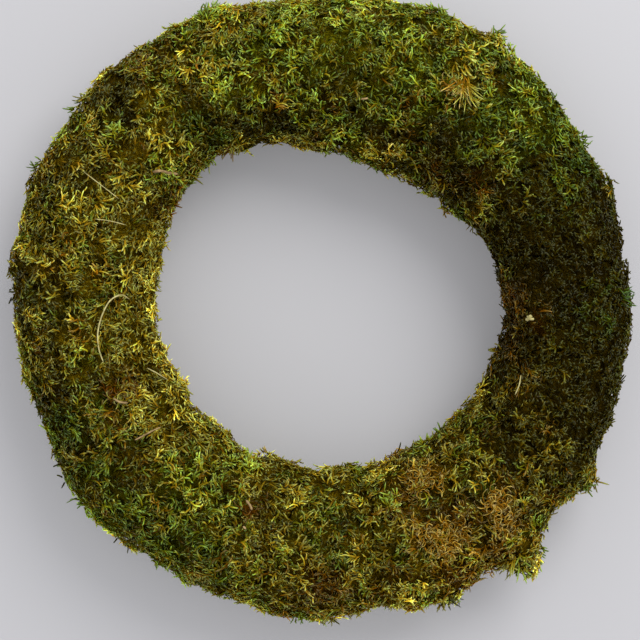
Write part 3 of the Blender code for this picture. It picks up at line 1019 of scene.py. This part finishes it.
def buildGrainGroup():
    # dry stalks, bark and straw: two colours in streaks and specks, and each piece lighter or darker than the next
    group, given, result = newGroup(
        "dryGrain",
        [("Dark", "NodeSocketColor", (0.2, 0.15, 0.05, 1)), ("Light", "NodeSocketColor", (0.6, 0.5, 0.2, 1)),
         ("Scale", "NodeSocketFloat", 300.0), ("Pick", "NodeSocketFloat", 0.5), ("Least", "NodeSocketFloat", 0.5)],
        [("Color", "NodeSocketColor"), ("Height", "NodeSocketFloat")],
    )
    link = group.links.new
    specks = objectNoise(group, in_Detail=5.0, in_Distortion=0.6)
    link(given.outputs["Scale"], specks.inputs["Scale"])
    streaks = addNode(group, "ShaderNodeValToRGB")
    setRamp(streaks, [(place, (grey, grey, grey)) for place, grey in grain["streaks"]])
    link(specks.outputs["Fac"], streaks.inputs["Fac"])
    colour = addNode(group, "ShaderNodeMix", data_type="RGBA")
    link(streaks.outputs["Color"], colour.inputs["Factor"])
    link(given.outputs["Dark"], colour.inputs["A"])
    link(given.outputs["Light"], colour.inputs["B"])
    shade = addNode(group, "ShaderNodeMapRange", in_To_Max=grain["lightest"])
    link(given.outputs["Pick"], shade.inputs["Value"])
    link(given.outputs["Least"], shade.inputs["To Min"])
    link(multiplied(group, colour.outputs["Result"], shade.outputs["Result"]), result.inputs["Color"])
    link(specks.outputs["Fac"], result.inputs["Height"])
    return group


grainGroup = buildGrainGroup()
grainLooks = {
    # dark and light colour, fineness of the grain, roughness, relief in metres, lightness of the darkest piece
    "dryStalk": ((0.28, 0.24, 0.08), (0.64, 0.57, 0.25), 260.0, 0.55, 0.0002, 0.5),
    "twigBark": ((0.15, 0.090, 0.035), (0.42, 0.29, 0.13), 420.0, 0.75, 0.0003, 0.5),
    "straw": ((0.34, 0.22, 0.07), (0.72, 0.54, 0.24), 300.0, 0.60, 0.0003, 0.35),
    "greenWire": ((0.012, 0.045, 0.018), (0.030, 0.095, 0.040), 500.0, 0.32, 0.00005, 1.0),
}


def grainMaterial(name, dark, light, scale, roughness, relief, least):
    material, tree, shader = newMaterial(name)
    group = addNode(tree, "ShaderNodeGroup", node_tree=grainGroup)
    for word, value in (("Dark", (*dark, 1)), ("Light", (*light, 1)), ("Scale", scale), ("Least", least)):
        group.inputs[word].default_value = value
    pick = addNode(tree, "ShaderNodeAttribute", attribute_name="pick")
    tree.links.new(pick.outputs["Fac"], group.inputs["Pick"])
    tree.links.new(group.outputs["Color"], shader.inputs["Base Color"])
    addBump(tree, shader, group.outputs["Height"], grain["bump"], relief)
    shader.inputs["Roughness"].default_value = roughness
    shader.inputs["Specular IOR Level"].default_value = grain["shine"]
    return material


stalkFinish, twigFinish, strawFinish, wireFinish = (grainMaterial(name, *look) for name, look in grainLooks.items())


def smoothPath(points, samples):
    # an even curve through the points
    ends = np.vstack((2 * points[0] - points[1], points, 2 * points[-1] - points[-2]))
    pieces = []
    for k in range(len(points) - 1):
        a, b, c, d = ends[k : k + 4]
        t = np.linspace(0, 1, samples, endpoint=False)[:, None]
        pieces.append(0.5 * (2 * b + (c - a) * t + (2 * a - 5 * b + 4 * c - d) * t**2 + (3 * b - a - 3 * c + d) * t**3))
    return np.vstack(pieces + [points[-1:]])


class Tubes:
    # gathers stalks and twigs into one mesh
    def __init__(self, sides=6):
        self.points, self.faces, self.picks, self.sides = [], [], [], sides
        self.slope, self.tip = 9, 0.35      # how fast the ends widen, and from which share of the thickness

    def add(self, path, radius, flat=1.0, knots=0.0, chance=None, pick=0.7):
        tangent = unit(np.gradient(path, axis=0))
        up = unit(path - ringMiddle + np.array([0.0, 0.0, 0.3]))       # upwards, a little away from the middle
        across = unit(np.cross(up, tangent))
        over = np.cross(tangent, across)
        share = np.linspace(0, 1, len(path))
        width = radius * np.clip(np.minimum(share, 1 - share) * self.slope + self.tip, 0, 1)
        if knots:
            width = width * (1 + knots * chance.normal(0, 1, len(path)))
        first = len(self.points)
        self.picks += [pick] * (len(path) * self.sides)
        for k in range(len(path)):
            for corner in range(self.sides):
                a = turn * corner / self.sides
                self.points.append(path[k] + width[k] * (across[k] * math.cos(a) + over[k] * math.sin(a) * flat))
        n = self.sides
        for k in range(len(path) - 1):
            for corner in range(n):
                a, b = first + k * n + corner, first + k * n + (corner + 1) % n
                self.faces.append((a, b, b + n, a + n))
        self.faces.append(tuple(first + corner for corner in range(n))[::-1])
        self.faces.append(tuple(first + (len(path) - 1) * n + corner for corner in range(n)))

    def build(self, name, finish, slot):
        mesh = bpy.data.meshes.new(name)
        mesh.from_pydata([tuple(point) for point in self.points], [], self.faces)
        mesh.shade_smooth()
        mesh.attributes.new("pick", "FLOAT", "POINT").data.foreach_set("value", self.picks)
        mesh.materials.append(finish)
        thing = addObject(name, mesh)
        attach(thing, "root")
        return thing


def inMoss(places, lift):
    # a path through places of the photograph's frame, each with its own height over the moss
    x, y = np.array(places, float).T
    return onSkin(x, y) + np.array([0.0, 0.0, 1.0]) * np.asarray(lift)[:, None] * mm


# places in the photograph's frame, and heights over the moss and radii in mm
paleStem = {
    "places": [(129, 299), (121, 295), (110, 301), (102, 316), (98, 333), (99, 349), (103, 362)],
    "heights": [-1.0, 0.6, 1.3, 1.1, 1.2, 0.6, -1.2],
    "radius": 0.40,
    "knots": 0.10,
    "samples": 7,               # from one place to the next
}
stemTubes = Tubes()
stemTubes.add(smoothPath(inMoss(paleStem["places"], paleStem["heights"]), paleStem["samples"]), paleStem["radius"] * mm,
              knots=paleStem["knots"], chance=np.random.default_rng(5))
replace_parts(stemTubes.build("paleStem", stalkFinish, "dry_stalk"), "dry_stem")

twigPiece = {
    "places": [(153, 172), (161, 171), (169, 173), (178, 174)],
    "heights": [0.2, 1.2, 1.1, 0.0],
    "radius": 0.75,
    "flat": 0.8,
    "knots": 0.10,
    "samples": 5,
}
chance = np.random.default_rng(12)      # the bark and the straws go on with it
twigTubes = Tubes()
twigTubes.add(smoothPath(inMoss(twigPiece["places"], twigPiece["heights"]), twigPiece["samples"]),
              twigPiece["radius"] * mm, twigPiece["flat"], twigPiece["knots"], chance)
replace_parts(twigTubes.build("twigPiece", twigFinish, "dry_stalk"), "twig_chip")

# loose stalks: places, heights, radius
stalks = [
    ([(84, 172), (101, 185), (119, 199)], [0.2, 0.9, 0.0], 0.21),
    ([(95, 219), (110, 221), (126, 225)], [0.0, 0.9, 0.2], 0.24),
    ([(147, 368), (157, 373), (168, 380)], [0.0, 1.0, 0.2], 0.30),
    ([(521, 375), (519, 385), (515, 395)], [0.1, 0.9, 0.1], 0.36),
    ([(526, 320), (529, 318), (531, 315)], [0.6, 1.5, 0.8], 1.00),
    ([(527, 316), (530, 319), (534, 319)], [0.4, 1.7, 0.6], 0.70),
]
stalkLook = {"sides": 5, "samples": 5}
stalkTubes = Tubes(stalkLook["sides"])
for places, heights, radius in stalks:
    stalkTubes.add(smoothPath(inMoss(places, heights), stalkLook["samples"]), radius * mm)
stalkTubes.build("looseStalks", stalkFinish, "dry_stalk")

# bark and chips: places, heights, radius, flatness
barks = [
    ([(135, 440), (143, 436), (152, 431), (161, 427)], [0.0, 0.9, 1.0, 0.3], 0.42, 0.9),
    ([(361, 99), (365, 99), (368, 98)], [0.4, 1.3, 0.4], 0.55, 0.6),
    ([(246, 500), (250, 505), (252, 510)], [0.4, 1.2, 0.4], 0.60, 0.6),
    ([(243, 526), (246, 529)], [1.0, 0.8], 0.60, 0.6),
    ([(113, 398), (120, 402), (128, 403)], [0.1, 1.0, 0.1], 0.45, 0.8),
]
barkLook = {"sides": 6, "samples": 4, "knots": 0.12}
barkTubes = Tubes(barkLook["sides"])
for places, heights, radius, flat in barks:
    barkTubes.add(smoothPath(inMoss(places, heights), barkLook["samples"]), radius * mm, flat, barkLook["knots"],
                  chance)
barkTubes.build("barkBits", twigFinish, "dry_stalk")

# straws along the back seam
straws = {
    "count": 400,
    "sides": 5,
    "points": 5,                # along each straw
    "length": (0.10, 0.40),     # radians round the wreath
    "radius": (0.40 * mm, 0.90 * mm),
    "flat": 0.7,
    "reach": (0.0, 0.9 * mm),   # over the straw ring
    "rise": (-0.2, 0.3),        # from one end to the other, in mm
    "seam": 0.30,               # to each side of the seam, in radians round the section
    "slant": 0.16,
    "bend": 0.12,
    "pick": (0.1, 1.0),
}
strawTubes = Tubes(straws["sides"])
for _ in range(straws["count"]):
    start, section = chance.uniform(0, turn), chance.uniform(-straws["seam"], straws["seam"])
    share = np.linspace(0, 1, straws["points"])
    theta = start + share * chance.uniform(*straws["length"])
    slant, bend = chance.normal(0, straws["slant"]), chance.normal(0, straws["bend"])
    across = section + (share - 0.5) * slant + (share - 0.5) ** 2 * bend
    reach = strawRadius + chance.uniform(*straws["reach"]) + share * chance.uniform(*straws["rise"]) * mm
    strawTubes.add(fromSection(theta, across, reach), chance.uniform(*straws["radius"]), straws["flat"],
                   pick=chance.uniform(*straws["pick"]))
strawTubes.build("strawStalks", strawFinish, "straw")
for name, finish in (("straw_ring", strawFinish), ("binding_wire", wireFinish)):
    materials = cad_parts[name].data.materials
    for number in range(len(materials)):
        materials[number] = finish
print("stalks, twigs, straw and wire")


# floor and light

stageLook = {
    "floor": (0.405, 0.405, 0.430),
    "floorGlow": 0.11,              # the floor is lit from below a little, as a light table is
    "glowColour": (1, 0.99, 1),
    "floorRoughness": 0.7,
    "floorSize": 6.0,
    "sky": (0.985, 0.985, 1.0),
    "skyStrength": 0.90,
    "lightPlace": (0.72, 0.95, 1.30),
    "lightSize": 1.2,
    "lightWatts": 20,
    "lightColour": (1.0, 0.985, 0.94),
}


def makeFloor():
    half = stageLook["floorSize"] / 2
    mesh = bpy.data.meshes.new("floor")
    mesh.from_pydata([(-half, -half, 0), (half, -half, 0), (half, half, 0), (-half, half, 0)], [], [(0, 1, 2, 3)])
    material, tree, shader = newMaterial("floor")
    shader.inputs["Base Color"].default_value = (*stageLook["floor"], 1)
    shader.inputs["Roughness"].default_value = stageLook["floorRoughness"]
    shader.inputs["Emission Color"].default_value = (*stageLook["glowColour"], 1)
    shader.inputs["Emission Strength"].default_value = stageLook["floorGlow"]
    mesh.materials.append(material)
    thing = addObject("floor", mesh)
    thing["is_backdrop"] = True


def makeLight():
    data = bpy.data.lights.new("windowLight", "AREA")
    data.shape, data.size, data.energy = "DISK", stageLook["lightSize"], stageLook["lightWatts"]
    data.color = stageLook["lightColour"]
    thing = addObject("windowLight", data)
    thing.location = stageLook["lightPlace"]
    thing.rotation_euler = (-Vector(stageLook["lightPlace"])).to_track_quat("-Z", "Y").to_euler()


makeFloor()
makeLight()
world = bpy.data.worlds.new("room")
bpy.context.scene.world = world
world.use_nodes = True
background = world.node_tree.nodes["Background"]
background.inputs["Color"].default_value = (*stageLook["sky"], 1)
background.inputs["Strength"].default_value = stageLook["skyStrength"]
bpy.context.scene.view_settings.view_transform = "Standard"
added = [thing.data.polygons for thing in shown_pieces() if thing.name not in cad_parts]
print("floor and light; triangles added:", sum(len(face.vertices) - 2 for faces in added for face in faces))
